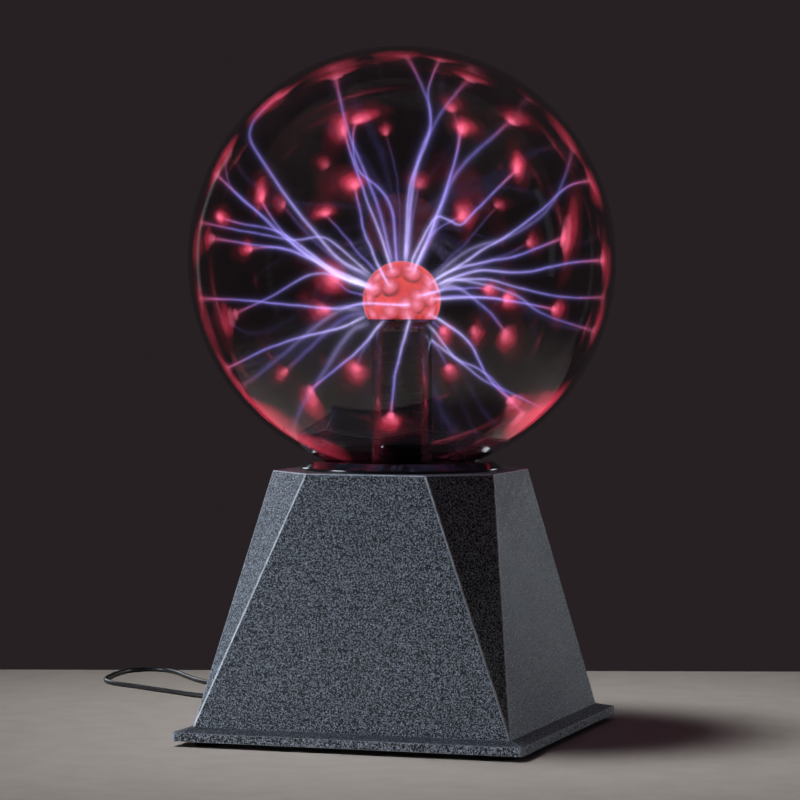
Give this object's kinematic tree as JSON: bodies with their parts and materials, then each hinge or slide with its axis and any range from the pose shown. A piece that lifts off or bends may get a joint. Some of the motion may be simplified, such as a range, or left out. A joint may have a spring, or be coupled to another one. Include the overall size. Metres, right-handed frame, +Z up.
{
  "type": "plasma ball lamp",
  "caption": "Smoked glass globe with a central electrode on a faceted black base, with a three-position rear rocker, a supply lead and a wall adapter.",
  "frame": {"origin": "on the surface that the lamp stands on, under the globe's axis", "axes": "+Z up along the globe's axis, -Y towards the front face, the supply jack and the rocker on the rear face at +Y"},
  "size_m": [0.3202, 0.3052, 0.3214],
  "materials": {
    "globe_glass": "polished smoked glass",
    "stem_glass": "polished clear glass",
    "lit_lining": "conductive coating lit orange by the discharge",
    "plasma": "glowing gas filaments",
    "textured_plastic": "black moulded plastic with a coarse sparkling texture",
    "black_gloss": "gloss black moulding",
    "black_matte": "satin black moulding",
    "black_rubber": "matt rubber",
    "silicone": "cured translucent silicone",
    "lead_sheath": "smooth flexible PVC sheath",
    "steel": "zinc plated",
    "nickel": "nickel plated",
    "brass": "turned brass",
    "aluminium": "extruded",
    "ferrite": "sintered ferrite",
    "copper_wire": "enamelled copper wire",
    "epoxy": "potting resin and moulded packages",
    "board_green": "solder mask on glass-epoxy",
    "capacitor_sleeve": "shrink sleeve",
    "resistor_body": "lacquered",
    "ivory_nylon": "natural nylon",
    "wire_insulation": "PVC insulation"
  },
  "bodies": {
    "base": {"globe_glass": "globe_glass", "glass_stem": "stem_glass", "electrode_lining": "lit_lining", "contact_spring": "steel", "contact_cap": "brass", "ribbed_sleeve": "black_matte", "high_voltage_lead": "wire_insulation", "neck_seal": "silicone", "globe_cradle": "black_matte", "cradle_screws": "steel", "collar_ring": "black_gloss", "base_shell": "textured_plastic", "base_plate": "textured_plastic", "base_screws": "steel", "rubber_feet": "black_rubber", "circuit_board": "board_green", "board_screws": "steel", "transformer_core": "ferrite", "winding_bobbins": "black_matte", "primary_winding": "copper_wire", "secondary_winding": "epoxy", "power_transistor": "epoxy", "heat_sink": "aluminium", "smoothing_capacitors": "capacitor_sleeve", "resistors": "resistor_body", "driver_chip": "epoxy", "board_connectors": "ivory_nylon", "microphone": "aluminium", "jack_body": "black_gloss", "jack_pin": "nickel", "jack_nut": "nickel", "switch_housing": "black_gloss", "switch_terminals": "nickel", "jack_wires": "wire_insulation", "switch_wires": "wire_insulation", "microphone_wires": "wire_insulation", "plug_barrel": "nickel", "plug_grip": "black_rubber", "plug_relief": "black_rubber", "power_lead": "lead_sheath", "lead_coil": "lead_sheath", "coil_tie": "black_matte", "lead_tail": "lead_sheath", "adapter_relief": "black_rubber", "adapter_case": "black_matte", "adapter_cover": "black_matte", "adapter_pins": "nickel"},
    "rocker": {"rocker": "black_gloss"}
  },
  "joints": [
    {"name": "rocker_tilt", "type": "hinge", "parent": "base", "child": "rocker", "pos_m": [0.018, 0.0629, 0.028], "axis": [1, 0, 0], "range_deg": [-24, 0]}
  ]
}
